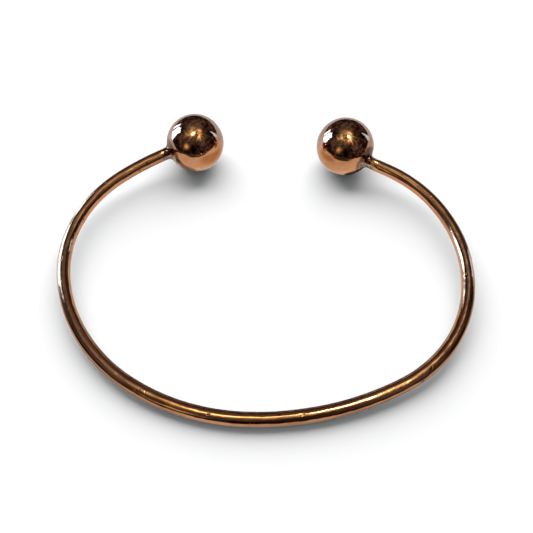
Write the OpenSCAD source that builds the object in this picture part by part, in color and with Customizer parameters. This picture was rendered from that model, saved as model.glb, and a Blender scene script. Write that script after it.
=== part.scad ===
// Copper cuff bracelet: one bent round wire with a solid ball soldered on each end.
// It lies on its side as it rests on a table, on the front of the wire and the two balls,
// so the plane of the wire rises a little toward the back. The front of the bracelet
// faces -Y, the gap between the balls faces +Y and the table is at z = 0.
// All sizes are in millimetres and degrees.

/* [Wire] */

// Diameter of the round copper wire (12 gauge)
wire_diameter = 2.05; // [1.6:0.05:2.6]

// Straight length of the left neck, from the last bend to the middle of its ball
left_neck_length = 3.5; // [3:0.5:6]

// Straight length of the right neck, from the last bend to the middle of its ball
right_neck_length = 8.5; // [7:0.5:10]

/* [Ball ends] */

// Diameter of each solid copper ball
ball_diameter = 9.75; // [8:0.25:11]

// Distance of the right ball's middle outside the line of its neck, as soldered by hand
right_ball_offset = 1; // [0:0.25:1.25]

/* [Solder joints] */

// Radius of the hollow of solder round the left neck
left_solder_radius = 1.2; // [0.8:0.1:1.6]

// Radius of the hollow of solder round the right neck
right_solder_radius = 1.4; // [0.8:0.1:1.6]

/* [Colours] */

// Colour of the polished copper
copper_colour = "#c07a4e"; // ["#c07a4e":Bright, "#8a5236":Tarnished]

// Colour of the silver solder
solder_colour = "#a8a09a"; // ["#a8a09a":Grey, "#c4c2be":Bright]

/* [Hidden] */

$fn = 96;

// Bends of the wire from the front of the bracelet round to each neck, in order.
// Each row is the bend's radius to the middle of the wire and the angle that it turns.
RADIUS = 0;
TURN = 1;
left_bends = [
    [32.5, 31],
    [26, 45],
    [20, 61],
    [40.5, 15],
];
right_bends = [
    [44.5, 29],
    [20.5, 50],
    [22.5, 46],
    [20, 26],
];

// Each side is laid out from its own first bend toward +X. The left one is turned over
// to -X, and its sign is the way that it runs.
LEFT = -1;
RIGHT = 1;

wire_radius = wire_diameter / 2;
ball_radius = ball_diameter / 2;

// Gap left on each side of a bend of the wire, and the bead that fills it: a hair fatter than
// the wire, so that their surfaces cross
seam = 0.1;
bead_radius = wire_radius + 0.02;

// Heading of the wire before bend i, counted from the front
function heading(bends, i) = i == 0 ? 0 : heading(bends, i - 1) + bends[i - 1][TURN];

// Place of the middle of the wire before bend i
function bend_start(bends, i) =
    i == 0
    ? [0, 0]
    : bend_start(bends, i - 1) + bends[i - 1][RADIUS] * [
        sin(heading(bends, i)) - sin(heading(bends, i - 1)),
        cos(heading(bends, i - 1)) - cos(heading(bends, i))
    ];

// Middle of the ball at the end of a side: along the neck, then out by the offset
function ball_centre(bends, neck, offset) =
    let (last = len(bends), turned = heading(bends, last))
    bend_start(bends, last)
    + neck * [cos(turned), sin(turned)]
    + offset * [sin(turned), -cos(turned)];

left_ball = ball_centre(left_bends, left_neck_length, 0);
right_ball = ball_centre(right_bends, right_neck_length, right_ball_offset);

// The bracelet rests on its front bead and the balls, so the plane of the wire rises by this
rest_tilt = asin((ball_radius - bead_radius) / ((left_ball.y + right_ball.y) / 2));

// Small turn that brings both balls to one height
level_turn = atan2(left_ball.y - right_ball.y, left_ball.x + right_ball.x);

// Reach of each side to its widest point, where the wire heads straight back
function reach(bends, i = 0) =
    let (from = heading(bends, i), to = min(90, heading(bends, i + 1)))
    bends[i][RADIUS] * (sin(to) - sin(from))
    + (to < 90 ? reach(bends, i + 1) : 0);

// Shift that puts the middle of the whole bracelet over the origin
shift_x = (reach(left_bends) - reach(right_bends)) / 2;
back_y = (left_ball.y + right_ball.y) / 2 * cos(rest_tilt) + ball_radius;
shift_y = -(back_y - bead_radius) / 2;

// One side of the wire: its bends in order, then the straight neck into the ball. The
// pieces stop a seam short of each other, and a bead fills each seam.
module wire_side(bends, neck, side) {
    last = len(bends);
    for (i = [0 : last - 1]) {
        bend_radius = bends[i][RADIUS];
        trim = asin(seam / bend_radius);
        from = heading(bends, i) + trim;
        turn = bends[i][TURN] - 2 * trim;
        middle = bend_start(bends, i)
            + bend_radius * [-sin(heading(bends, i)), cos(heading(bends, i))];
        translate([side * middle.x, middle.y, 0])
            rotate(side == RIGHT ? from - 90 : -90 - from - turn)
                rotate_extrude(angle = turn)
                    translate([bend_radius, 0])
                        circle(r = wire_radius);
    }
    for (i = [1 : last]) {
        place = bend_start(bends, i);
        translate([side * place.x, place.y, 0])
            sphere(r = bead_radius);
    }
    end = bend_start(bends, last);
    turned = heading(bends, last);
    translate([side * end.x, end.y, 0])
        rotate(side == RIGHT ? turned : 180 - turned)
            rotate([0, 90, 0])
                translate([0, 0, seam])
                    cylinder(r = wire_radius, h = neck);
}

// The whole bent wire, with the bead at the front where its two sides start.
module wire_band() {
    color(copper_colour) {
        sphere(r = bead_radius);
        wire_side(left_bends, left_neck_length, LEFT);
        wire_side(right_bends, right_neck_length, RIGHT);
    }
}

// One solid ball end.
module ball_end(centre, side) {
    color(copper_colour)
        translate([side * centre.x, centre.y, 0])
            sphere(r = ball_radius);
}

// Solder drawn up round a neck: a hollow curve from the wire out to the ball. The neck
// runs past the ball's middle by the offset, and the solder leans with it.
module solder_joint(centre, bends, offset, hollow, side) {
    bite = 0.04 * hollow;
    out = wire_radius + hollow - bite;
    along = sqrt(pow(ball_radius + hollow - bite, 2) - out * out);
    inner = 0.9 * ball_radius / norm([along, out]);
    lean = atan2(offset, along);
    turned = heading(bends, len(bends)) + 180 - lean;
    color(solder_colour)
        translate([side * centre.x, centre.y, 0])
            rotate(side == RIGHT ? turned : 180 - turned)
                rotate([0, 90, 0])
                    rotate_extrude()
                        difference() {
                            polygon([
                                [0, 0.6 * ball_radius],
                                [0, along],
                                [out, along],
                                [out * inner, along * inner]
                            ]);
                            translate([out, along])
                                circle(r = hollow);
                        }
}

// The soldered bracelet, one solid, laid down at rest.
module cuff() {
    translate([shift_x, shift_y, bead_radius])
        rotate([rest_tilt, 0, 0])
            rotate(level_turn) {
                wire_band();
                ball_end(left_ball, LEFT);
                ball_end(right_ball, RIGHT);
                solder_joint(left_ball, left_bends, 0, left_solder_radius, LEFT);
                solder_joint(
                    right_ball, right_bends, right_ball_offset, right_solder_radius, RIGHT
                );
            }
}

cuff();
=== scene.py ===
"""Dresses the copper cuff bracelet: one bent wire with a ball soldered on each end.

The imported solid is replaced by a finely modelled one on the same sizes, with the finish of
polished copper that has been worn, and it is set on a pale floor under soft light. All
sizes of the bracelet are in millimetres and degrees, as in the part's source, and its mesh
is scaled to metres at the end.
"""

import logging
from dataclasses import dataclass, field, replace
from enum import Enum
from math import asin, atan2, cos, degrees, exp, pi, radians, sin, sqrt, tan

import bmesh
import bpy
from mathutils import Euler, Matrix, Vector, noise


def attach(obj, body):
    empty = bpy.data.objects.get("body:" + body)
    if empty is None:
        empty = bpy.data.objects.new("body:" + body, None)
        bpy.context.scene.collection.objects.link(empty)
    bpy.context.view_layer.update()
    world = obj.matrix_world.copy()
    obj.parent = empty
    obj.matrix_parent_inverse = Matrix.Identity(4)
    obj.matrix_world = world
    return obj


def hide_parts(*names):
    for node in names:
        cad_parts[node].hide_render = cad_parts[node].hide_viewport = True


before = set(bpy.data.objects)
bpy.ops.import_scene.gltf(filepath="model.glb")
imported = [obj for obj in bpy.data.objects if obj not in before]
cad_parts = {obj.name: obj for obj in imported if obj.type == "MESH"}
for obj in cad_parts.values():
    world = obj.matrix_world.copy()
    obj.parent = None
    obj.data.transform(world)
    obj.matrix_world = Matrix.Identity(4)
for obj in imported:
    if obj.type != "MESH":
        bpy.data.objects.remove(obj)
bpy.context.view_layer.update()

log = logging.getLogger("bracelet")

MM = 0.001
UP = Vector((0, 0, 1))

Socket = bpy.types.NodeSocket
Pair = tuple[float, float]
Triple = tuple[float, float, float]
Colour = tuple[float, float, float, float]


# Shader graphs


class Value:
    """A number in a shader graph, with the arithmetic that adds Math nodes."""

    def __init__(self, graph: "Graph", socket: Socket) -> None:
        """Wrap one output socket of a graph.

        Args:
            graph: the graph that the socket belongs to.
            socket: the output socket that holds the number.
        """
        self.graph = graph
        self.socket = socket

    def __add__(self, other: "Value | float") -> "Value":
        """Sum."""
        return self.graph.math("ADD", self, other)

    def __radd__(self, other: float) -> "Value":
        """Sum with the number on the left."""
        return self.graph.math("ADD", other, self)

    def __sub__(self, other: "Value | float") -> "Value":
        """Difference."""
        return self.graph.math("SUBTRACT", self, other)

    def __rsub__(self, other: float) -> "Value":
        """Difference with the number on the left."""
        return self.graph.math("SUBTRACT", other, self)

    def __mul__(self, other: "Value | float") -> "Value":
        """Product."""
        return self.graph.math("MULTIPLY", self, other)

    def __truediv__(self, other: "Value | float") -> "Value":
        """Quotient."""
        return self.graph.math("DIVIDE", self, other)

    def __pow__(self, other: "Value | float") -> "Value":
        """Power."""
        return self.graph.math("POWER", self, other)

    def __rpow__(self, other: float) -> "Value":
        """Power with the number as its base."""
        return self.graph.math("POWER", other, self)


class Graph:
    """A node tree that is written as expressions."""

    def __init__(self, tree: bpy.types.NodeTree) -> None:
        """Empty a node tree and take it over.

        Args:
            tree: the tree of a material or of the world.
        """
        self.tree = tree
        tree.nodes.clear()

    def node(
        self, kind: str, settings: dict | None = None, inputs: dict | None = None
    ) -> bpy.types.Node:
        """Add a node.

        Args:
            kind: the node's type.
            settings: the node's properties, which are set first.
            inputs: values or links by the socket's name or number.

        Returns:
            The new node.
        """
        made = self.tree.nodes.new(kind)
        for name, value in (settings or {}).items():
            setattr(made, name, value)
        for name, value in (inputs or {}).items():
            socket = made.inputs[name]
            if isinstance(value, Value):
                value = value.socket
            if isinstance(value, Socket):
                self.tree.links.new(value, socket)
            else:
                socket.default_value = value
        return made

    def math(self, operation: str, *values: "Value | float", clamp: bool = False) -> Value:
        """Add a Math node.

        Args:
            operation: what the node works out.
            values: its numbers, in order.
            clamp: whether the result stays between 0 and 1.

        Returns:
            The result.
        """
        made = self.node(
            "ShaderNodeMath",
            {"operation": operation, "use_clamp": clamp},
            dict(enumerate(values)),
        )
        return Value(self, made.outputs[0])

    def step(self, value: Value, start: float, end: float) -> Value:
        """Rise smoothly from 0 at start to 1 at end, or fall where end is the lower one."""
        made = self.node(
            "ShaderNodeMapRange",
            {"interpolation_type": "SMOOTHSTEP"},
            {
                "Value": value,
                "From Min": min(start, end),
                "From Max": max(start, end),
                "To Min": 0.0 if start < end else 1.0,
                "To Max": 1.0 if start < end else 0.0,
            },
        )
        return Value(self, made.outputs[0])

    def mix(self, factor: "Value | float", a: object, b: object) -> Socket:
        """Mix two colours.

        Args:
            factor: 0 for the first colour, 1 for the second.
            a: the first colour, a socket or four numbers.
            b: the second colour.

        Returns:
            The mixed colour's socket.
        """
        made = self.node("ShaderNodeMix", {"data_type": "RGBA"}, {0: factor, 6: a, 7: b})
        return made.outputs[2]

    def vector(self, operation: str, inputs: dict) -> bpy.types.Node:
        """Add a Vector Math node."""
        return self.node("ShaderNodeVectorMath", {"operation": operation}, inputs)

    def shade(self, colour: object, gain: "Value | float") -> Socket:
        """Multiply a colour by a number."""
        return self.vector("SCALE", {0: colour, "Scale": gain}).outputs[0]

    def add_colours(self, a: object, b: object) -> Socket:
        """Add two colours."""
        return self.vector("ADD", {0: a, 1: b}).outputs[0]

    def stretch(self, vector: object, scale: Triple) -> Socket:
        """Multiply a vector's three parts by three numbers."""
        return self.vector("MULTIPLY", {0: vector, 1: scale}).outputs[0]

    def dot(self, a: object, b: object) -> Value:
        """Dot product of two vectors."""
        return Value(self, self.vector("DOT_PRODUCT", {0: a, 1: b}).outputs[1])

    def squared(self, place: object, middle: Triple) -> Value:
        """Square of the distance of a place from a middle."""
        apart = self.vector("SUBTRACT", {0: place, 1: middle}).outputs[0]
        return self.dot(apart, apart)

    def far(self, x: Value, y: Value) -> Value:
        """Distance of a flat place from zero."""
        return self.math("SQRT", x * x + y * y)

    def fade(self, value: Value) -> Value:
        """Fall from 1 at 0 toward 0, as e to the power of minus the value."""
        return exp(1) ** (0 - value)

    def parts(self, vector: object) -> tuple[Value, Value, Value]:
        """Split a vector into its three numbers."""
        made = self.node("ShaderNodeSeparateXYZ", None, {0: vector})
        return tuple(Value(self, out) for out in made.outputs)

    def off_the_floor(self) -> Value:
        """1 where the light goes straight to the copper, 0 where the floor would catch it."""
        path = self.node("ShaderNodeLightPath")
        return self.math("SUBTRACT", 1.0, Value(self, path.outputs["Diffuse Depth"]), clamp=True)

    def place(self) -> Socket:
        """Place on the object, in metres."""
        return self.node("ShaderNodeTexCoord").outputs["Object"]

    def carried(self, name: str) -> bpy.types.Node:
        """Read an attribute that the mesh carries."""
        return self.node("ShaderNodeAttribute", {"attribute_name": name})

    def noise(self, vector: object, scale: float, detail: float, rough: float) -> Value:
        """Noise between about 0.2 and 0.8.

        Args:
            vector: where it is read.
            scale: how many of its lumps go into one unit.
            detail: how many finer layers it has.
            rough: how strong the finer layers are.

        Returns:
            The noise.
        """
        made = self.node(
            "ShaderNodeTexNoise",
            {"noise_dimensions": "3D"},
            {"Vector": vector, "Scale": scale, "Detail": detail, "Roughness": rough},
        )
        return Value(self, made.outputs[0])

    def glow(self, colour: object, strength: "Value | float" = 1.0) -> Socket:
        """Shine on the copper, and not on the floor.

        Args:
            colour: the colour, a socket or four numbers.
            strength: how bright it is.

        Returns:
            The shader's socket.
        """
        lit = self.off_the_floor() * strength
        made = self.node("ShaderNodeEmission", None, {"Color": colour, "Strength": lit})
        return made.outputs[0]

    def clear(self) -> Socket:
        """Let light straight through."""
        return self.node("ShaderNodeBsdfTransparent").outputs[0]

    def both(self, a: object, b: object) -> Socket:
        """Add two shaders."""
        return self.node("ShaderNodeAddShader", None, {0: a, 1: b}).outputs[0]

    def blend(self, factor: Value, a: object, b: object) -> Socket:
        """Mix two shaders, from the first at 0 to the second at 1."""
        return self.node("ShaderNodeMixShader", None, {0: factor, 1: a, 2: b}).outputs[0]

    def surface(self, shader: Socket) -> None:
        """Make a shader the surface of the material."""
        self.node("ShaderNodeOutputMaterial", None, {"Surface": shader})


def dress(mesh: bpy.types.Mesh, name: str) -> Graph:
    """Give a mesh one more material.

    Args:
        mesh: the mesh.
        name: the material's name.

    Returns:
        The material's graph, still empty.
    """
    material = bpy.data.materials.new(name)
    material.use_nodes = True
    mesh.materials.append(material)
    return Graph(material.node_tree)


# The bracelet's finishes


@dataclass(frozen=True)
class CopperFinish:
    """Polished copper that has darkened a little with wear.

    Every pattern reads the bracelet laid out straight: its length along X, and its cross
    section on Y and Z, in millimetres, which the mesh carries as an attribute.
    """

    name: str
    bright: Colour = (0.62, 0.31, 0.165, 1.0)
    dull: Colour = (0.44, 0.19, 0.09, 1.0)
    solder: Colour = (0.42, 0.36, 0.32, 1.0)
    burnt: Colour = (0.07, 0.03, 0.02, 1.0)
    grime: Colour = (0.05, 0.02, 0.012, 1.0)
    roughness: float = 0.1
    cloudy: float = 0.05
    pitted: float = 0.8
    stretch_of_gloss: float = 0.0
    pit_depth: float = 0.025
    solder_pit_depth: float = 0.03
    line_depth: float = 0.0
    mark_depth: float = 0.0
    wave_depth: float = 0.0
    line_scale: Triple = (0.04, 5.0, 5.0)
    mark_scale: Triple = (5.0, 0.35, 0.35)
    wave_scale: Triple = (0.35, 0.8, 0.8)
    cloud_scale: Triple = (0.22, 0.45, 0.45)
    pit_scale: Triple = (1.1, 1.5, 1.5)
    speck_scale: float = 3.2
    grain_scale: float = 6.5

    def build(self, mesh: bpy.types.Mesh) -> None:
        """Make the material.

        Args:
            mesh: the mesh that gets it.
        """
        g = dress(mesh, self.name)
        laid = g.carried("laid_out").outputs["Vector"]
        joint = Value(g, g.carried("solder").outputs["Fac"])
        stain = Value(g, g.carried("stain").outputs["Fac"])

        clouds = g.noise(g.stretch(laid, self.cloud_scale), 1.0, 4.0, 0.6)
        specks = g.noise(laid, self.speck_scale, 3.0, 0.6)
        grain = g.noise(laid, self.grain_scale, 3.0, 0.7)
        lines = g.noise(g.stretch(laid, self.line_scale), 1.0, 3.0, 0.65)
        marks = g.noise(g.stretch(laid, self.mark_scale), 1.0, 4.0, 0.7)
        waves = g.noise(g.stretch(laid, self.wave_scale), 1.0, 2.0, 0.5)
        pits = g.step(g.noise(g.stretch(laid, self.pit_scale), 1.0, 1.0, 0.5), 0.7, 0.76)

        tarnish = g.math(
            "ADD", g.step(clouds, 0.42, 0.72) * 0.75, g.step(specks, 0.58, 0.72) * 0.35, clamp=True
        )
        burnt = g.step(stain + (specks - 0.5) * 0.5, 0.3, 0.75)
        soldered = g.step(g.math("ADD", joint, (grain - 0.5) * 0.9, clamp=True), 0.35, 0.62)
        # The solder on the right is the more pitted
        on_right = g.step(g.parts(laid)[0], -1.0, 1.0)
        holes = soldered * g.step(grain, 0.5, 0.42) * (on_right * 0.65 + 0.2)

        colour = g.mix(tarnish, self.bright, self.dull)
        colour = g.mix(burnt * 0.85, colour, self.burnt)
        colour = g.mix(soldered * 0.85, colour, self.solder)
        colour = g.mix(holes, colour, self.burnt)
        colour = g.mix(pits * self.pitted, colour, self.grime)
        rough = (
            self.roughness
            + (clouds - 0.5) * self.cloudy
            + tarnish * (self.cloudy * 0.6)
            + soldered * (g.step(grain, 0.4, 0.62) * 0.16 + 0.05)
        )
        height = (
            (lines - 0.5) * self.line_depth
            + (marks - 0.5) * self.mark_depth
            + (waves - 0.5) * self.wave_depth
            - soldered * g.step(grain, 0.52, 0.4) * self.solder_pit_depth
            - pits * (self.pitted * self.pit_depth)
        )
        bump = g.node("ShaderNodeBump", None, {"Strength": 1.0, "Distance": MM, "Height": height})
        shader = g.node(
            "ShaderNodeBsdfPrincipled",
            None,
            {
                "Base Color": colour,
                "Metallic": 1.0,
                "Roughness": rough,
                "Anisotropic": self.stretch_of_gloss,
                "Normal": bump.outputs[0],
            },
        )
        g.surface(shader.outputs[0])


class Finish(Enum):
    """The two finishes of the bracelet, in the order of its material slots."""

    WIRE = CopperFinish(
        name="drawn_copper_wire",
        roughness=0.1,
        stretch_of_gloss=0.3,
        line_depth=0.008,
        mark_depth=0.006,
        wave_depth=0.09,
        line_scale=(0.05, 3.5, 3.5),
    )
    BALL = CopperFinish(
        name="polished_copper_ball",
        roughness=0.025,
        cloudy=0.015,
        pitted=0.1,
        mark_depth=0.015,
        wave_depth=0.05,
        mark_scale=(0.8, 0.8, 0.8),
        wave_scale=(0.3, 0.3, 0.3),
    )


@dataclass(frozen=True)
class Spread:
    """How far a finish spreads round a solder joint, up the neck and onto the ball."""

    neck: float
    neck_fade: float
    ball: float
    ball_fade: float
    turn: float
    least: float
    turn_fade: float = 0.4

    def at(self, height: float, beside: float, phi: float) -> float:
        """Work out how strong the finish is.

        Args:
            height: distance outside the ball.
            beside: distance on the ball from the middle of the joint.
            phi: angle round the wire.

        Returns:
            A number between 0 and 1.
        """
        on_neck = 1 - max(0.0, (height - self.neck) / self.neck_fade)
        on_ball = 1 - max(0.0, (beside - self.ball) / self.ball_fade)
        facing = (cos(phi - self.turn) - self.least) / self.turn_fade
        return max(0.0, min(1.0, on_neck, on_ball, facing))


# The bracelet's shape


class Side(Enum):
    """The two sides of the bracelet, by the way that the wire runs from its front."""

    LEFT = -1
    RIGHT = 1


@dataclass(frozen=True)
class Bend:
    """One bend of the wire."""

    radius: float
    turn: float


@dataclass(frozen=True)
class Arm:
    """One side of the wire, from the front to the ball at its end."""

    side: Side
    bends: tuple[Bend, ...]
    neck: float
    offset: float
    solder_radius: float
    drop: float

    def stations(self) -> list[tuple[Vector, float]]:
        """Follow the bends in the plane of the wire, as if to the right.

        Returns:
            The place and the heading before each bend, and then where the neck starts.
        """
        place, heading = Vector((0, 0)), 0.0
        passed = [(place, heading)]
        for bend in self.bends:
            turned = heading + radians(bend.turn)
            step = Vector((sin(turned) - sin(heading), cos(heading) - cos(turned)))
            place, heading = place + bend.radius * step, turned
            passed.append((place, heading))
        return passed

    def shortened(self, cut: float) -> "Arm":
        """Cut a length of wire off the end of the last bend.

        Args:
            cut: the length, in millimetres.

        Returns:
            The shorter arm.
        """
        *whole, last = self.bends
        kept = Bend(last.radius, last.turn - degrees(cut / last.radius))
        return replace(self, bends=(*whole, kept))

    def on_side(self, place: Vector) -> Vector:
        """Turn a flat place over to the arm's own side."""
        return Vector((self.side.value * place.x, place.y, 0))

    def ball(self) -> Vector:
        """Middle of the ball in the plane of the wire."""
        place, heading = self.stations()[-1]
        return self.on_side(
            place
            + self.neck * Vector((cos(heading), sin(heading)))
            + self.offset * Vector((sin(heading), -cos(heading)))
        )

    def reach(self) -> float:
        """Measure from the front to the widest point, where the wire heads back.

        Returns:
            The distance to the side.
        """
        total, heading = 0.0, 0.0
        for bend in self.bends:
            turned = min(pi / 2, heading + radians(bend.turn))
            if turned > heading:
                total += bend.radius * (sin(turned) - sin(heading))
            heading += radians(bend.turn)
        return total


@dataclass
class BallEnd:
    """One end of the bracelet: the bare neck, the hollow of solder and the ball.

    Each vertex has a number round the wire, and keeps its angle up to the end.
    """

    arm: Arm
    bent: Arm
    neck: float
    wire_radius: float
    ball_radius: float
    angles: dict[int, float]
    sag: float = 0.35
    ripple: float = 0.12
    edge_ripple: float = 0.15
    drop_angle: float = 1.13
    drop_width: float = 0.7
    drop_gap: float = -0.1
    drop_share: float = 0.25
    drop_length: float = 0.15
    flat: float = 0.3
    flat_width: float = 0.3
    flat_length: float = 0.8
    pull: float = 0.55
    start: Vector = field(init=False)
    ahead: Vector = field(init=False)
    inward: Vector = field(init=False)
    ball: Vector = field(init=False)
    axis: Vector = field(init=False)
    across: Vector = field(init=False)
    uneven: dict[int, float] = field(init=False)
    edge: dict[int, float] = field(init=False)

    def __post_init__(self) -> None:
        """Work out where the neck and the ball lie, and where the solder ends on the ball."""
        arm, side = self.arm, self.arm.side.value
        place, heading = self.bent.stations()[-1]
        self.start = arm.on_side(place)
        self.ahead = Vector((side * cos(heading), sin(heading), 0))
        self.inward = Vector((-side * sin(heading), cos(heading), 0))
        self.ball = arm.ball()
        # The axis of the ball's rings leans with the solder
        self.axis = (self.ball - self.start - self.ahead * self.neck).normalized()
        self.across = side * UP.cross(self.axis)
        self.uneven = {
            key: self.sag * max(0.0, -sin(phi))
            + self.ripple * max(0.0, -cos(phi)) * noise.noise(Vector((phi * 2, side, 0)))
            for key, phi in self.angles.items()
        }
        hollow = arm.solder_radius
        even = asin((self.wire_radius + hollow) / (self.ball_radius + hollow))
        self.edge = {
            key: even * (1 + self.edge_ripple * more) for key, more in self.uneven.items()
        }

    def round_ball(self, key: int) -> Vector:
        """Direction of a vertex from the axis of the ball's rings."""
        phi = self.angles[key]
        return cos(phi) * self.across + sin(phi) * UP

    def neck_point(self, key: int, at: float) -> Vector:
        """Place a vertex on the neck, with the drop of solder on top of it.

        Args:
            key: the vertex's number.
            at: how far along the neck it is, less what the solder reaches back.

        Returns:
            The place.
        """
        phi = self.angles[key]
        beside = abs(phi - self.drop_angle)
        length = self.drop_share * self.neck + self.drop_length
        before = (at - self.neck + self.drop_gap) / length
        flat = self.flat * self.wire_radius * min(beside, self.flat_width) ** 2
        flat *= exp(-((before * self.flat_length) ** 4))
        drop = self.arm.drop * exp(-before * before)
        proud = exp(-((beside / self.drop_width) ** 4)) * (drop + flat)
        out = cos(phi) * self.inward + sin(phi) * UP
        return self.start + self.ahead * at + (self.wire_radius + proud) * out

    def bare_point(self, key: int, t: float) -> Vector:
        """Place a vertex on the bare neck, from its start at 0 to the solder at 1."""
        back = self.uneven[key] * self.arm.solder_radius
        return self.neck_point(key, (self.neck - back) * t)

    def solder_point(self, key: int, t: float) -> Vector:
        """Place a vertex on the hollow of solder.

        Args:
            key: the vertex's number.
            t: how far over the solder it is, from the neck at 0 to the ball at 1.

        Returns:
            The place.
        """
        theta = self.edge[key]
        first, last = self.bare_point(key, 1.0), self.ball_point(key, theta)
        rise = sin(theta) * self.axis + cos(theta) * self.round_ball(key)
        pull = self.pull * (last - first).length
        return (
            (1 - t) ** 3 * first
            + 3 * (1 - t) ** 2 * t * (first + self.ahead * pull)
            + 3 * (1 - t) * t * t * (last - rise * pull)
            + t**3 * last
        )

    def ball_point(self, key: int, theta: float) -> Vector:
        """Place a vertex on the ball, at an angle from the middle of the joint."""
        ring = -cos(theta) * self.axis + sin(theta) * self.round_ball(key)
        return self.ball + self.ball_radius * ring


@dataclass
class Bracelet:
    """The whole soldered bracelet, as one closed mesh grown from the front of the wire."""

    wire_radius: float = 1.025
    bead: float = 0.02
    ball_radius: float = 4.872
    cad_ball_radius: float = 4.875
    left: Arm = Arm(
        side=Side.LEFT,
        bends=(Bend(32.5, 31), Bend(26, 45), Bend(20, 61), Bend(40.5, 15)),
        neck=3.5,
        offset=0.0,
        solder_radius=1.2,
        drop=0.062,
    )
    right: Arm = Arm(
        side=Side.RIGHT,
        bends=(Bend(44.5, 29), Bend(20.5, 50), Bend(22.5, 46), Bend(20, 26)),
        neck=8.5,
        offset=1.0,
        solder_radius=1.4,
        drop=0.135,
    )
    solder: Spread = Spread(1.2, 0.9, 1.6, 0.7, -0.5, 0.4)
    stain: Spread = Spread(0.7, 0.8, 1.9, 1.3, 1.05, -0.35)
    solder_reach: float = 4.2
    least_neck: float = 1.2
    laid_solder: float = 1.6
    segments: int = 96
    ring_gap: float = 0.45
    neck_gap: float = 0.15
    solder_rings: int = 14
    ball_rings: int = 56
    ball_finish_reach: float = 0.35
    most_off_path: float = 0.01
    worn: float = 0.02
    slow_wear: float = 0.016
    quick_wear: float = 0.004
    mesh: bmesh.types.BMesh = field(default_factory=bmesh.new)

    def placing(self) -> Matrix:
        """Turn and shift from the plane of the wire to the bracelet at rest.

        Returns:
            The matrix, still in millimetres.
        """
        left, right = self.left.ball(), self.right.ball()
        back = (left.y + right.y) / 2
        foot = self.wire_radius + self.bead
        tilt = asin((self.cad_ball_radius - foot) / back)
        level = atan2(left.y - right.y, right.x - left.x)
        aside = (self.left.reach() - self.right.reach()) / 2
        behind = -(back * cos(tilt) + self.cad_ball_radius - foot) / 2
        return (
            Matrix.Translation((aside, behind, foot))
            @ Matrix.Rotation(tilt, 4, "X")
            @ Matrix.Rotation(level, 4, "Z")
        )

    def verts_of(self, ring: list) -> list[bmesh.types.BMVert]:
        """Vertices of a ring, without its edges."""
        return [part for part in ring if isinstance(part, bmesh.types.BMVert)]

    def bend_wire(self, ring: list, arm: Arm) -> tuple[list, float]:
        """Spin the wire along an arm's bends.

        Args:
            ring: the vertices and edges that the wire starts from.
            arm: the arm to follow.

        Returns:
            The last ring, and the length of the wire so far.
        """
        laid = self.mesh.verts.layers.float_vector["laid_out"]
        side, length = arm.side.value, 0.0
        for bend, (place, heading) in zip(arm.bends, arm.stations()):
            turn = radians(bend.turn)
            steps = max(2, round(turn * bend.radius / self.ring_gap))
            centre = place + bend.radius * Vector((-sin(heading), cos(heading)))
            for _ in range(steps):
                made = bmesh.ops.spin(
                    self.mesh,
                    geom=ring,
                    cent=arm.on_side(centre),
                    axis=(0, 0, side),
                    dvec=(0, 0, 0),
                    angle=turn / steps,
                    steps=1,
                    use_merge=False,
                    use_normal_flip=False,
                    use_duplicate=False,
                )
                ring = made["geom_last"]
                length += turn * bend.radius / steps
                for vert in self.verts_of(ring):
                    vert[laid].x = side * length
        return ring, length

    def grow_ring(self, ring: list, places: dict[int, Vector]) -> list:
        """Extrude a ring and put the new one in place.

        Args:
            ring: the ring's vertices and edges.
            places: the new place of each vertex, by its number round the ring.

        Returns:
            The new ring.
        """
        number = self.mesh.verts.layers.int["number"]
        edges = [part for part in ring if isinstance(part, bmesh.types.BMEdge)]
        made = bmesh.ops.extrude_edge_only(self.mesh, edges=edges)["geom"]
        verts = self.verts_of(made)
        fresh = set(verts)
        rim = [
            part
            for part in made
            if isinstance(part, bmesh.types.BMEdge) and fresh.issuperset(part.verts)
        ]
        for vert in verts:
            vert.co = places[vert[number]]
        return verts + rim

    def solder_ball(self, ring: list, end: BallEnd, length: float) -> None:
        """Carry the wire through its neck and its hollow of solder, and round the ball.

        Args:
            ring: the ring at the end of the last bend.
            end: the neck, the solder and the ball.
            length: the length of the wire so far.
        """
        laid = self.mesh.verts.layers.float_vector["laid_out"]
        number = self.mesh.verts.layers.int["number"]
        side, big = end.arm.side.value, end.ball_radius
        straight = max(4, round(end.neck / self.neck_gap))
        for i in range(1, straight + 1):
            t = i / straight
            ring = self.grow_ring(ring, {key: end.bare_point(key, t) for key in end.angles})
            for vert in self.verts_of(ring):
                vert[laid].x = side * (length + end.neck * t)
        for i in range(1, self.solder_rings + 1):
            t = i / self.solder_rings
            ring = self.grow_ring(ring, {key: end.solder_point(key, t) for key in end.angles})
            for vert in self.verts_of(ring):
                vert[laid].x = side * (length + end.neck + self.laid_solder * t)
        far = length + end.neck + self.laid_solder
        for i in range(1, self.ball_rings + 1):
            t = i / (self.ball_rings + 1)
            thetas = {key: edge + (pi - edge) * t for key, edge in end.edge.items()}
            ring = self.grow_ring(
                ring, {key: end.ball_point(key, theta) for key, theta in thetas.items()}
            )
            for vert in self.verts_of(ring):
                phi = end.angles[vert[number]]
                out = big * sin(thetas[vert[number]])
                along = side * (far + big * (1 - cos(pi * t)))
                vert[laid] = (along, out * cos(phi), out * sin(phi))
        bmesh.ops.pointmerge(
            self.mesh, verts=self.verts_of(ring), merge_co=end.ball + big * end.axis
        )

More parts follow.
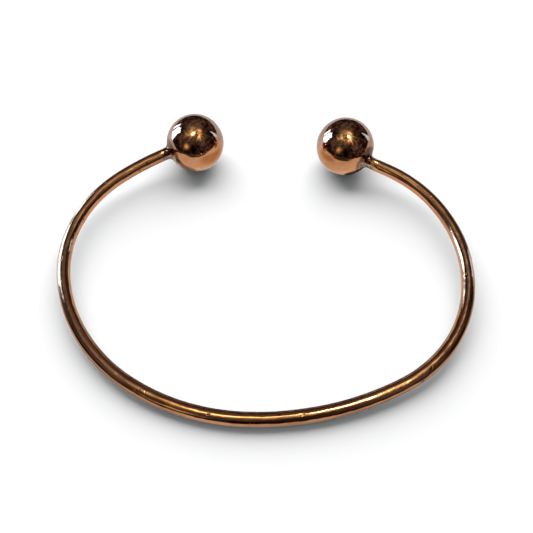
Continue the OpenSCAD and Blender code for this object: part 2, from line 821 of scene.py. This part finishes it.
    def mark_joint(self, end: BallEnd) -> None:
        """Store on the mesh where the solder and its stain lie.

        Args:
            end: the end of the bracelet whose joint it is.
        """
        number = self.mesh.verts.layers.int["number"]
        solder = self.mesh.verts.layers.float["solder"]
        stain = self.mesh.verts.layers.float["stain"]
        for vert in self.mesh.verts:
            offset = vert.co - end.ball
            height = offset.length - end.ball_radius
            if height < self.solder_reach:
                beside = (offset.normalized() + end.axis).length * end.ball_radius
                phi = end.angles[vert[number]]
                vert[solder] = self.solder.at(height, beside, phi)
                vert[stain] = self.stain.at(height, beside, phi) * (1 - vert[solder])

    def grow_arm(self, arm: Arm, ring: list) -> None:
        """Make one side of the bracelet, from the front ring of the wire.

        Args:
            arm: the side to make.
            ring: the vertices and edges of the front ring.

        Raises:
            ValueError: if the bent wire doesn't end where its neck starts.
        """
        laid = self.mesh.verts.layers.float_vector["laid_out"]
        number = self.mesh.verts.layers.int["number"]
        out = self.wire_radius + arm.solder_radius
        foot = sqrt((self.ball_radius + arm.solder_radius) ** 2 - out**2)
        # A neck that would be too short starts a little before the end of the last bend
        bare = arm.neck - foot
        bent = arm.shortened(max(0.0, self.least_neck - bare))
        ring, length = self.bend_wire(ring, bent)
        verts = self.verts_of(ring)
        end = BallEnd(
            arm=arm,
            bent=bent,
            neck=max(self.least_neck, bare),
            wire_radius=self.wire_radius,
            ball_radius=self.ball_radius,
            angles={vert[number]: atan2(vert[laid].z, vert[laid].y) for vert in verts},
        )
        middle = sum((vert.co for vert in verts), Vector()) / self.segments
        if (middle - end.start).length > self.most_off_path:
            raise ValueError(f"the {arm.side.name} side of the wire is off its path")
        self.solder_ball(ring, end, length)
        self.mark_joint(end)

    def wear(self) -> None:
        """Take the perfect roundness off the wire and the balls, always inward."""
        mesh = self.mesh
        laid = mesh.verts.layers.float_vector["laid_out"]
        mesh.normal_update()
        for vert in mesh.verts:
            at = vert[laid]
            slow = noise.noise(Vector((at.x * 0.16, at.y * 0.3, at.z * 0.3)))
            quick = noise.noise(Vector((at.x * 0.6, at.y * 0.5, at.z * 0.5 + 9)))
            depth = self.worn + self.slow_wear * slow + self.quick_wear * quick
            vert.co -= vert.normal * depth

    def front_ring(self) -> list:
        """Make the ring of the wire at the front, where its two sides start.

        Returns:
            The ring's vertices and edges.
        """
        layers = self.mesh.verts.layers
        layers.float_vector.new("laid_out")
        layers.float.new("solder")
        layers.float.new("stain")
        layers.int.new("number")
        laid, number = layers.float_vector["laid_out"], layers.int["number"]
        verts = bmesh.ops.create_circle(
            self.mesh,
            cap_ends=False,
            radius=self.wire_radius,
            segments=self.segments,
            matrix=Matrix.Rotation(pi / 2, 4, "Y"),
        )["verts"]
        for i, vert in enumerate(verts):
            vert[number] = i
            vert[laid] = (0, vert.co.y, vert.co.z)
        return verts + list(self.mesh.edges)

    def face_rank(self, face: bmesh.types.BMFace) -> int:
        """Number for a face's place in the list, from its three lowest vertices."""
        low, middle, high = sorted(vert.index for vert in face.verts)[:3]
        return (low * len(self.mesh.verts) + middle) * len(self.mesh.verts) + high

    def build(self) -> bpy.types.Object:
        """Model the bracelet and dress it.

        Returns:
            The finished piece.
        """
        mesh = self.mesh
        front = self.front_ring()
        for arm in (self.right, self.left):
            self.grow_arm(arm, front)
        bmesh.ops.recalc_face_normals(mesh, faces=mesh.faces)
        # A spin adds its faces in an order that changes from run to run
        mesh.verts.index_update()
        mesh.faces.sort(key=self.face_rank)
        self.wear()
        balls = (self.left.ball(), self.right.ball())
        for face in mesh.faces:
            face.smooth = True
            near = min((face.calc_center_median() - ball).length for ball in balls)
            on_ball = near < self.ball_radius + self.ball_finish_reach
            face.material_index = 1 if on_ball else 0
        bmesh.ops.transform(mesh, matrix=Matrix.Scale(MM, 4) @ self.placing(), verts=mesh.verts)
        data = bpy.data.meshes.new("bracelet")
        mesh.to_mesh(data)
        mesh.free()
        for finish in Finish:
            finish.value.build(data)
        piece = bpy.data.objects.new("bracelet", data)
        bpy.context.scene.collection.objects.link(piece)
        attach(piece, "root")
        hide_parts("cuff")
        log.info("bracelet: %d faces", len(data.polygons))
        return piece


# The studio


def toward(azimuth: float, elevation: float) -> Vector:
    """Direction in the room: azimuth 0 is the back, 90 the right side, in degrees."""
    a, e = radians(azimuth), radians(elevation)
    return Vector((sin(a) * cos(e), cos(a) * cos(e), sin(e)))


def link_stage(name: str, mesh: bmesh.types.BMesh) -> bpy.types.Object:
    """Make a stage object from a mesh.

    Args:
        name: the object's name.
        mesh: its mesh, in metres, which is freed.

    Returns:
        The object.
    """
    data = bpy.data.meshes.new(name)
    mesh.to_mesh(data)
    mesh.free()
    stage = bpy.data.objects.new(name, data)
    bpy.context.scene.collection.objects.link(stage)
    return stage


def hang_in_gloss(name: str, mesh: bmesh.types.BMesh, finish: str | None = None) -> Graph:
    """Hang a thing that shows in reflections alone, as a studio's flags and cards do.

    Args:
        name: the object's name.
        mesh: its mesh, in metres, which is freed.
        finish: its material's name, where that isn't the object's.

    Returns:
        The graph of its material, still empty.
    """
    stage = link_stage(name, mesh)
    stage.visible_camera = False
    stage.visible_diffuse = False
    stage.visible_transmission = False
    stage.visible_volume_scatter = False
    stage.visible_shadow = False
    return dress(stage.data, finish or name)


@dataclass(frozen=True)
class Patch:
    """A soft round place on the walls of the room, seen from the bracelet."""

    azimuth: float
    elevation: float
    width: float
    colour: Triple = (0.0, 0.0, 0.0)

    def near(self, g: Graph, way: Socket) -> Value:
        """Fall from 1 in its middle, by the direction in the room."""
        across = g.dot(way, tuple(toward(self.azimuth, self.elevation)))
        return g.fade((1 - across) * (1 / radians(self.width) ** 2))


@dataclass(frozen=True)
class Ray:
    """A thin ray of the lamp's glare, running out from the middle of a bulb."""

    way: float
    length: float
    strength: float
    width: float
    start: float = 0.006

    def lit(self, g: Graph, x: Value, y: Value) -> Value:
        """Work out how bright the ray is.

        Args:
            g: the lamp's graph.
            x: the place from the bulb's middle, from left to right.
            y: the place from the bulb's middle, from front to back.

        Returns:
            The ray's strength along its middle, fading to its sides and its end.
        """
        turn = radians(self.way)
        ahead = x * cos(turn) + y * sin(turn)
        beside = (y * cos(turn) - x * sin(turn)) * (1 / self.width)
        along = g.math("MAXIMUM", ahead, 0.0) * (1 / self.length)
        return g.fade(along + beside * beside) * g.step(ahead, 0.0, self.start) * self.strength


@dataclass(frozen=True)
class Bulb:
    """One hot bulb of the lamp, with the place that it is aimed at."""

    place: Triple
    aim: Triple
    spread: float
    power: float
    rays: tuple[Ray, ...]
    radius: float = 0.011
    core: float = 1.8
    colour: Triple = (1.0, 0.95, 0.75)

    def glare(self, g: Graph, place: Socket, bent: Value) -> Value:
        """Work out the glare round the bulb.

        Args:
            g: the lamp's graph.
            place: where on the lamp's glow.
            bent: how far the rays wander there.

        Returns:
            The strength of its core and its rays.
        """
        x, y, _ = g.parts(place)
        away = g.squared(place, self.place) ** 0.5
        glare = g.fade(away * (1 / self.radius)) * self.core
        for ray in self.rays:
            glare = glare + ray.lit(g, x - self.place[0] + bent, y - self.place[1] + bent)
        return glare

    def hang(self, name: str) -> None:
        """Hang the bulb as a light that only shows on the copper.

        Args:
            name: the light's name.
        """
        light = bpy.data.lights.new(name, "SPOT")
        light.spot_size = radians(self.spread)
        light.spot_blend = 0.4
        light.energy = self.power
        light.color = self.colour
        light.shadow_soft_size = self.radius
        hung = bpy.data.objects.new(name, light)
        hung.location = self.place
        down = Vector(self.aim) - Vector(self.place)
        hung.rotation_euler = down.to_track_quat("-Z", "Y").to_euler()
        hung.visible_diffuse = False
        hung.visible_camera = False
        bpy.context.scene.collection.objects.link(hung)


@dataclass(frozen=True)
class Haze:
    """A soft round part of the lamp's glow."""

    place: Triple
    radius: float
    strength: float

    def near(self, g: Graph, place: Socket) -> Value:
        """Fall from 1 in its middle."""
        return g.fade(g.squared(place, self.place) * (1 / self.radius**2))


@dataclass(frozen=True)
class Lamp:
    """The warm lamp: two hot bulbs with rays, in a wide golden glow."""

    middle: Triple = (0.014, 0.006, 0.15)
    radius: float = 0.28
    fade_from: float = 0.2
    fade_to: float = 0.275
    star_colour: Triple = (1.0, 0.97, 0.42)
    haze_colour: Triple = (1.0, 0.93, 0.75)
    wander: float = 0.012
    wander_scale: float = 90.0
    smoke_scale: float = 42.0
    left_rays: tuple[Ray, ...] = (
        Ray(202.0, 0.022, 4.2, 0.008),
        Ray(6.0, 0.045, 5.0, 0.006),
        Ray(50.0, 0.032, 2.4, 0.005),
        Ray(112.0, 0.03, 1.2, 0.005),
        Ray(238.0, 0.026, 2.6, 0.006),
        Ray(284.0, 0.026, 2.4, 0.006),
        Ray(325.0, 0.022, 1.5, 0.006),
    )
    right_rays: tuple[Ray, ...] = (
        Ray(308.0, 0.036, 5.0, 0.008),
        Ray(272.0, 0.03, 3.2, 0.006),
        Ray(338.0, 0.03, 3.0, 0.006),
        Ray(162.0, 0.03, 3.0, 0.006),
        Ray(98.0, 0.026, 2.4, 0.006),
        Ray(48.0, 0.024, 1.8, 0.005),
        Ray(222.0, 0.022, 1.8, 0.006),
    )
    bulbs: tuple[Bulb, ...] = (
        Bulb((-0.019, 0.0, 0.149), (-0.022, 0.022, 0.005), 17.0, 0.1, left_rays),
        Bulb((0.031, 0.002, 0.149), (0.012, -0.005, 0.005), 26.0, 0.16, right_rays),
    )
    hazes: tuple[Haze, ...] = (
        Haze((0.032, 0.004, 0.15), 0.03, 0.9),
        Haze((0.05, -0.036, 0.15), 0.025, 0.95),
        Haze((0.046, 0.042, 0.15), 0.017, 0.9),
        Haze((-0.018, 0.012, 0.15), 0.024, 0.3),
        Haze((0.01, -0.018, 0.15), 0.075, 0.22),
        Haze((-0.08, 0.008, 0.15), 0.02, 0.85),
    )
    gap: Haze = Haze((0.027, -0.02, 0.15), 0.014, 0.9)

    def colour(self, g: Graph, place: Socket) -> Socket:
        """Work out the light of the glow.

        Args:
            g: the lamp's graph.
            place: where on the glow.

        Returns:
            The colour of the haze and the glare together.
        """
        bent = (g.noise(place, self.wander_scale, 2.0, 0.5) - 0.5) * self.wander
        glares = [bulb.glare(g, place, bent) for bulb in self.bulbs]
        lumps = g.noise(place, self.smoke_scale, 5.0, 0.6)
        streaks = g.step(g.math("ABSOLUTE", lumps - 0.5), 0.03, 0.0)
        smoke = g.step(lumps, 0.5, 0.6) * 1.5 + streaks * 1.1 + 0.05
        hazes = [haze.near(g, place) * (smoke * haze.strength) for haze in self.hazes]
        colour = g.add_colours(
            g.shade(self.haze_colour, sum(hazes[1:], hazes[0])),
            g.shade(self.star_colour, sum(glares[1:], glares[0])),
        )
        return g.shade(colour, 1 - self.gap.near(g, place) * self.gap.strength)

    def build(self) -> None:
        """Hang the lamp."""
        mesh = bmesh.new()
        bmesh.ops.create_circle(
            mesh,
            cap_ends=True,
            radius=self.radius,
            segments=64,
            matrix=Matrix.Translation(self.middle),
        )
        g = hang_in_gloss("lamp_glow", mesh)
        place, clear = g.place(), g.clear()
        within = g.step(g.squared(place, self.middle) ** 0.5, self.fade_to, self.fade_from)
        g.surface(g.blend(within, clear, g.both(g.glow(self.colour(g, place)), clear)))
        for i, bulb in enumerate(self.bulbs):
            bulb.hang(f"bulb_{i}")
        log.info("lamp: %d bulbs", len(self.bulbs))


@dataclass(frozen=True)
class Card:
    """A flat bright card of the room, such as one pane of the window."""

    name: str
    azimuth: float
    elevation: float
    width: float
    height: float
    roll: float
    strength: float
    colour: Colour = (0.3, 0.56, 1.0, 1.0)
    distance: float = 0.32
    taper: float = 1.0

    def build(self) -> None:
        """Hang the card, facing the bracelet."""
        mesh = bmesh.new()
        bmesh.ops.create_grid(mesh, x_segments=1, y_segments=1, size=0.5)
        for vert in mesh.verts:
            if vert.co.y > 0:
                vert.co.x *= self.taper
        across = 2 * self.distance * tan(radians(self.width / 2))
        tall = 2 * self.distance * tan(radians(self.height / 2))
        aim = toward(self.azimuth, self.elevation)
        placing = (
            Matrix.Translation(aim * self.distance)
            @ (-aim).to_track_quat("Z", "Y").to_matrix().to_4x4()
            @ Matrix.Rotation(radians(self.roll), 4, "Z")
            @ Matrix.Diagonal((across, tall, 1, 1))
        )
        bmesh.ops.transform(mesh, matrix=placing, verts=mesh.verts)
        g = hang_in_gloss(self.name, mesh)
        g.surface(g.glow(self.colour, self.strength))


@dataclass(frozen=True)
class Shield:
    """A small oval of smoky film that hides one part of the lamp from one part of the copper."""

    name: str
    middle: Triple
    length: float
    width: float
    turn: float
    smoke: float
    colour: Colour = (0.1, 0.085, 0.08, 1.0)

    def build(self) -> None:
        """Hang the shield."""
        turn = radians(self.turn)
        mesh = bmesh.new()
        bmesh.ops.create_circle(mesh, cap_ends=True, radius=1.0, segments=32)
        placing = (
            Matrix.Translation(self.middle)
            @ Matrix.Rotation(turn, 4, "Z")
            @ Matrix.Diagonal((self.length, self.width, 1.0, 1.0))
        )
        bmesh.ops.transform(mesh, matrix=placing, verts=mesh.verts)
        g = hang_in_gloss(self.name, mesh)
        x, y, _ = g.parts(g.place())
        x, y = x - self.middle[0], y - self.middle[1]
        along = (x * cos(turn) + y * sin(turn)) * (1 / self.length)
        beside = (y * cos(turn) - x * sin(turn)) * (1 / self.width)
        smoky = g.step(g.far(along, beside), 0.95, 0.65) * self.smoke
        g.surface(g.blend(smoky, g.clear(), g.glow(self.colour)))


@dataclass(frozen=True)
class Room:
    """The dim room that the copper mirrors: brown walls, a pale window and a warm lamp."""

    radius: float = 2.0
    wall: Colour = (0.12, 0.105, 0.12, 1.0)
    deep: Colour = (0.017, 0.008, 0.008, 1.0)
    ceiling_glow: Triple = (0.2, 0.19, 0.15)
    ceiling: Pair = (62, 84)
    upper_glow: Triple = (0.038, 0.046, 0.04)
    upper: Pair = (38, 62)
    shade_depth: float = 0.85
    lights: tuple[Patch, ...] = (
        Patch(-148, 25, 5.8, (1.5, 1.25, 0.62)),
        Patch(-120, 42, 18, (0.05, 0.045, 0.05)),
        Patch(-15, 60, 14, (0.1, 0.09, 0.1)),
        Patch(130, 34, 12, (0.06, 0.05, 0.06)),
    )
    shades: tuple[Patch, ...] = (
        Patch(-102, 10, 13),
        Patch(72, 30, 14),
        Patch(58, 52, 9),
        Patch(180, 14, 22),
        Patch(-60, 52, 12),
    )
    shields: tuple[Shield, ...] = (
        Shield("shield_between", (0.0045, 0.0095, 0.078), 0.016, 0.016, 0.0, 0.88),
        Shield("shield_left", (-0.0123, 0.0051, 0.03), 0.0125, 0.0075, 53.0, 0.8),
    )
    cards: tuple[Card, ...] = (
        Card("window_pane", -67, 9.5, 22.5, 43, -6, 11.0),
        Card("upper_pane", -66.5, 34, 18, 5.5, -6, 9.0),
        Card("narrow_pane", -47.5, 7, 8, 34, -10, 8.0),
        Card("pale_panel", 62, 12, 16, 34, 4, 2.9, (0.32, 0.56, 1.0, 1.0), 0.5, 0.2),
    )
    lamp: Lamp = Lamp()

    def above(self, g: Graph, way: Socket, span: Pair) -> Value:
        """Rise from 0 to 1 over a span of elevations, in degrees."""
        return g.step(g.parts(way)[2], sin(radians(span[0])), sin(radians(span[1])))

    def walls(self) -> None:
        """Make the walls and the ceiling, as one dome with its pattern by direction."""
        mesh = bmesh.new()
        bmesh.ops.create_uvsphere(mesh, u_segments=48, v_segments=24, radius=self.radius)
        g = hang_in_gloss("room", mesh, "dim_room")
        way = g.vector("NORMALIZE", {0: g.place()}).outputs[0]
        blotch = g.noise(way, 5.5, 5.0, 0.6)
        colour = g.mix(g.step(blotch, 0.455, 0.565), self.deep, self.wall)
        for patch in self.lights:
            colour = g.add_colours(colour, g.shade(patch.colour, patch.near(g, way)))
        for patch in self.shades:
            colour = g.shade(colour, 1 - patch.near(g, way) * self.shade_depth)
        ceiling = self.above(g, way, self.ceiling) * (blotch * 2)
        upper = self.above(g, way, self.upper) * (g.step(blotch, 0.38, 0.62) * 1.3 + 0.35)
        colour = g.add_colours(colour, g.shade(self.ceiling_glow, ceiling))
        colour = g.add_colours(colour, g.shade(self.upper_glow, upper))
        g.surface(g.glow(colour))

    def build(self) -> None:
        """Make the whole room."""
        self.walls()
        for hung in (*self.shields, *self.cards, self.lamp):
            hung.build()
        log.info("room: walls, %d shields and %d cards", len(self.shields), len(self.cards))


@dataclass(frozen=True)
class Oval:
    """A soft oval place on the sheet: all inside its rim, or all outside it."""

    middle: Pair
    reach: Pair
    rim: float
    whole: float

    def near(self, g: Graph, x: Value, y: Value) -> Value:
        """Rise from 0 at the rim to 1 where the place is whole.

        Args:
            g: the sheet's graph.
            x: the place on the sheet, from left to right.
            y: the place on the sheet, from front to back.

        Returns:
            The strength.
        """
        u = (x - self.middle[0]) / self.reach[0]
        v = (y - self.middle[1]) / self.reach[1]
        return g.step(g.far(u, v), self.rim, self.whole)


@dataclass(frozen=True)
class Strip:
    """A narrow strip of shade on the sheet, from one point to another."""

    start: Pair
    end: Pair
    width: float
    depth: float

    def shade(self, g: Graph, x: Value, y: Value) -> Value:
        """Work out the light that the strip lets through.

        Args:
            g: the sheet's graph.
            x: the place on the sheet, from left to right.
            y: the place on the sheet, from front to back.

        Returns:
            1 away from the strip, and less on it.
        """
        reach = Vector(self.end) - Vector(self.start)
        p, q = x - self.start[0], y - self.start[1]
        square = reach.length_squared
        t = g.math("ADD", p * (reach.x / square), q * (reach.y / square), clamp=True)
        apart = g.far(p - t * reach.x, q - t * reach.y)
        return 1 - g.step(apart, self.width * 1.3, self.width * 0.7) * self.depth


@dataclass(frozen=True)
class Table:
    """The pale floor and backdrop, and the sheet that the copper mirrors in their place."""

    size: float = 6.0
    floor_colour: Colour = (0.92, 0.92, 0.92, 1.0)
    paleness: float = 0.93
    backdrop_glow: float = 1.05
    sheet_height: float = 0.00002
    sheet_colour: Colour = (0.82, 0.77, 0.7, 1.0)
    # Tints of the mirrored floor: painted window light, painted shade on the room side, and a
    # warmer tone between the balls
    window_light_tint: Colour = (0.62, 0.72, 0.82, 1.0)
    room_shade_tint: Colour = (0.46, 0.41, 0.4, 1.0)
    between_balls: Colour = (0.6, 0.44, 0.28, 1.0)
    sheen: Colour = (0.06, 0.06, 0.06, 1.0)
    shade_depth: float = 0.94
    # Ovals of painted shade on the mirrored floor: inside the front of the wire, and before it
    shade_inside_front: Oval = Oval((0.0, -0.0145), (0.028, 0.0125), 1.15, 0.8)
    shade_before_front: Oval = Oval((0.0, 0.0), (0.039, 0.037), 0.98, 1.2)
    in_the_gap: Oval = Oval((-0.0025, 0.014), (0.0075, 0.01), 1.3, 0.5)
    # Strips of painted shadow on the mirrored floor, under the necks and where the balls touch
    strips: tuple[Strip, ...] = (
        Strip((-0.031, 0.0115), (-0.0195, 0.0165), 0.0014, 0.6),
        Strip((-0.0195, 0.0165), (-0.014, 0.018), 0.0014, 0.7),
        Strip((-0.0145, 0.0205), (-0.0125, 0.0205), 0.0018, 0.75),
        Strip((0.025, 0.017), (0.0184, 0.0202), 0.0015, 0.95),
        Strip((0.0184, 0.0202), (0.0145, 0.0185), 0.0015, 0.95),
        Strip((0.0125, 0.0205), (0.0145, 0.0205), 0.0018, 0.75),
    )

    def square(self, height: float = 0.0) -> bmesh.types.BMesh:
        """Make a wide flat square.

        Args:
            height: how far it lies above the table.

        Returns:
            Its mesh.
        """
        mesh = bmesh.new()
        lift = Matrix.Translation((0, 0, height))
        half = self.size / 2
        bmesh.ops.create_grid(mesh, x_segments=1, y_segments=1, size=half, matrix=lift)
        return mesh

    def floor(self) -> None:
        """Lay the plain floor that the camera sees."""
        stage = link_stage("floor", self.square())
        stage.visible_glossy = False
        g = dress(stage.data, "pale_floor")
        x, y, _ = g.parts(g.place())
        lit = g.step(g.far(x, y), 0.08, 0.3) * self.paleness
        paper = g.node("ShaderNodeBsdfDiffuse", None, {"Color": self.floor_colour})
        pale = g.node("ShaderNodeEmission", None, {"Strength": lit})
        g.surface(g.both(paper.outputs[0], pale.outputs[0]))

    def backdrop(self) -> None:
        """Hang the plain pale backdrop that the camera sees all round."""
        mesh = bmesh.new()
        bmesh.ops.create_uvsphere(mesh, u_segments=48, v_segments=24, radius=self.size * 0.49)
        stage = link_stage("backdrop", mesh)
        stage.visible_glossy = False
        stage.visible_diffuse = False
        stage.visible_shadow = False
        g = dress(stage.data, "pale_backdrop")
        pale = g.node("ShaderNodeEmission", None, {"Strength": self.backdrop_glow})
        g.surface(pale.outputs[0])

    def sheet(self) -> None:
        """Lay the sheet that shows in reflections, dimmer where it is in shade."""
        g = hang_in_gloss("sheet", self.square(self.sheet_height), "mirrored_sheet")
        place = g.place()
        x, y, _ = g.parts(place)
        # The shade before the front of the wire has a ragged edge
        jag = 1 + (g.noise(place, 160.0, 3.0, 0.6) - 0.5) * 0.35
        before = self.shade_before_front.near(g, x * jag, y * jag) * g.step(y, 0.004, -0.012)
        shaded = g.math("MAXIMUM", self.shade_inside_front.near(g, x, y), before)
        lit = g.step(g.far(x, y), 0.9, 0.25) * (1 - shaded * self.shade_depth)
        for strip in self.strips:
            lit = lit * strip.shade(g, x, y)
        # Painted window light to the left and at the back, painted shade to the right, and a
        # warmer tone between the balls
        colour = g.mix(g.step(x, -0.03, -0.08), self.sheet_colour, self.window_light_tint)
        colour = g.mix(g.step(x, 0.028, 0.06), colour, self.room_shade_tint)
        colour = g.mix(g.step(y, 0.022, 0.032), colour, self.window_light_tint)
        colour = g.mix(self.in_the_gap.near(g, x, y), colour, self.between_balls)
        gloss = g.node("ShaderNodeBsdfGlossy", None, {"Color": self.sheen, "Roughness": 0.3})
        g.surface(g.both(g.glow(g.shade(colour, lit)), gloss.outputs[0]))

    def build(self) -> None:
        """Set up all three."""
        self.floor()
        self.sheet()
        self.backdrop()
        log.info("floor, sheet and backdrop")


@dataclass(frozen=True)
class SoftLight:
    """A soft light on the floor, which the copper doesn't mirror."""

    name: str
    azimuth: float
    elevation: float
    distance: float
    size: float
    power: float

    def build(self) -> None:
        """Hang the light, aimed at the bracelet."""
        light = bpy.data.lights.new(self.name, "AREA")
        light.shape = "DISK"
        light.size = self.size
        light.energy = self.power
        light.use_nodes = True
        g = Graph(light.node_tree)
        even = g.node("ShaderNodeLightFalloff", None, {"Strength": 1.0}).outputs["Constant"]
        glow = g.node("ShaderNodeEmission", None, {"Strength": even})
        g.node("ShaderNodeOutputLight", None, {"Surface": glow.outputs[0]})
        aim = toward(self.azimuth, self.elevation)
        hung = bpy.data.objects.new(self.name, light)
        hung.location = aim * self.distance
        hung.rotation_euler = aim.to_track_quat("Z", "Y").to_euler()
        hung.visible_glossy = False
        hung.visible_camera = False
        bpy.context.scene.collection.objects.link(hung)
        log.info("light %s", self.name)


@dataclass(frozen=True)
class Viewpoint:
    """The camera, where the photograph was taken from, in millimetres and degrees."""

    place: Triple = (2.436, -58.788, 84.077)
    turn: Triple = (34.963, 0.105, 2.02)
    lens: float = 44.0
    sensor: float = 36.0

    def build(self) -> None:
        """Set up the camera."""
        camera = bpy.data.cameras.new("camera")
        camera.lens = self.lens
        camera.sensor_width = self.sensor
        camera.clip_start = 0.005
        held = bpy.data.objects.new("camera", camera)
        held.location = Vector(self.place) * MM
        held.rotation_euler = Euler([radians(a) for a in self.turn], "XYZ")
        bpy.context.scene.collection.objects.link(held)
        bpy.context.scene.camera = held
        log.info("camera")


def set_world(strength: float) -> None:
    """Fill the studio with plain pale light.

    Args:
        strength: how bright it is.
    """
    world = bpy.data.worlds.new("pale_studio")
    world.use_nodes = True
    bpy.context.scene.world = world
    g = Graph(world.node_tree)
    back = g.node(
        "ShaderNodeBackground", None, {"Color": (0.99, 1.0, 1.005, 1.0), "Strength": strength}
    )
    g.node("ShaderNodeOutputWorld", None, {"Surface": back.outputs[0]})


def main() -> None:
    """Build the bracelet and the studio, in order."""
    logging.basicConfig(level=logging.INFO, format="%(message)s")
    Viewpoint().build()
    Bracelet().build()
    Table().build()
    Room().build()
    SoftLight(
        name="back_light",
        azimuth=-8.5,
        elevation=36.8,
        distance=0.187,
        size=0.336,
        power=20.5,
    ).build()
    set_world(0.3)
    bpy.context.scene.view_settings.view_transform = "Standard"


if __name__ == "__main__":
    main()
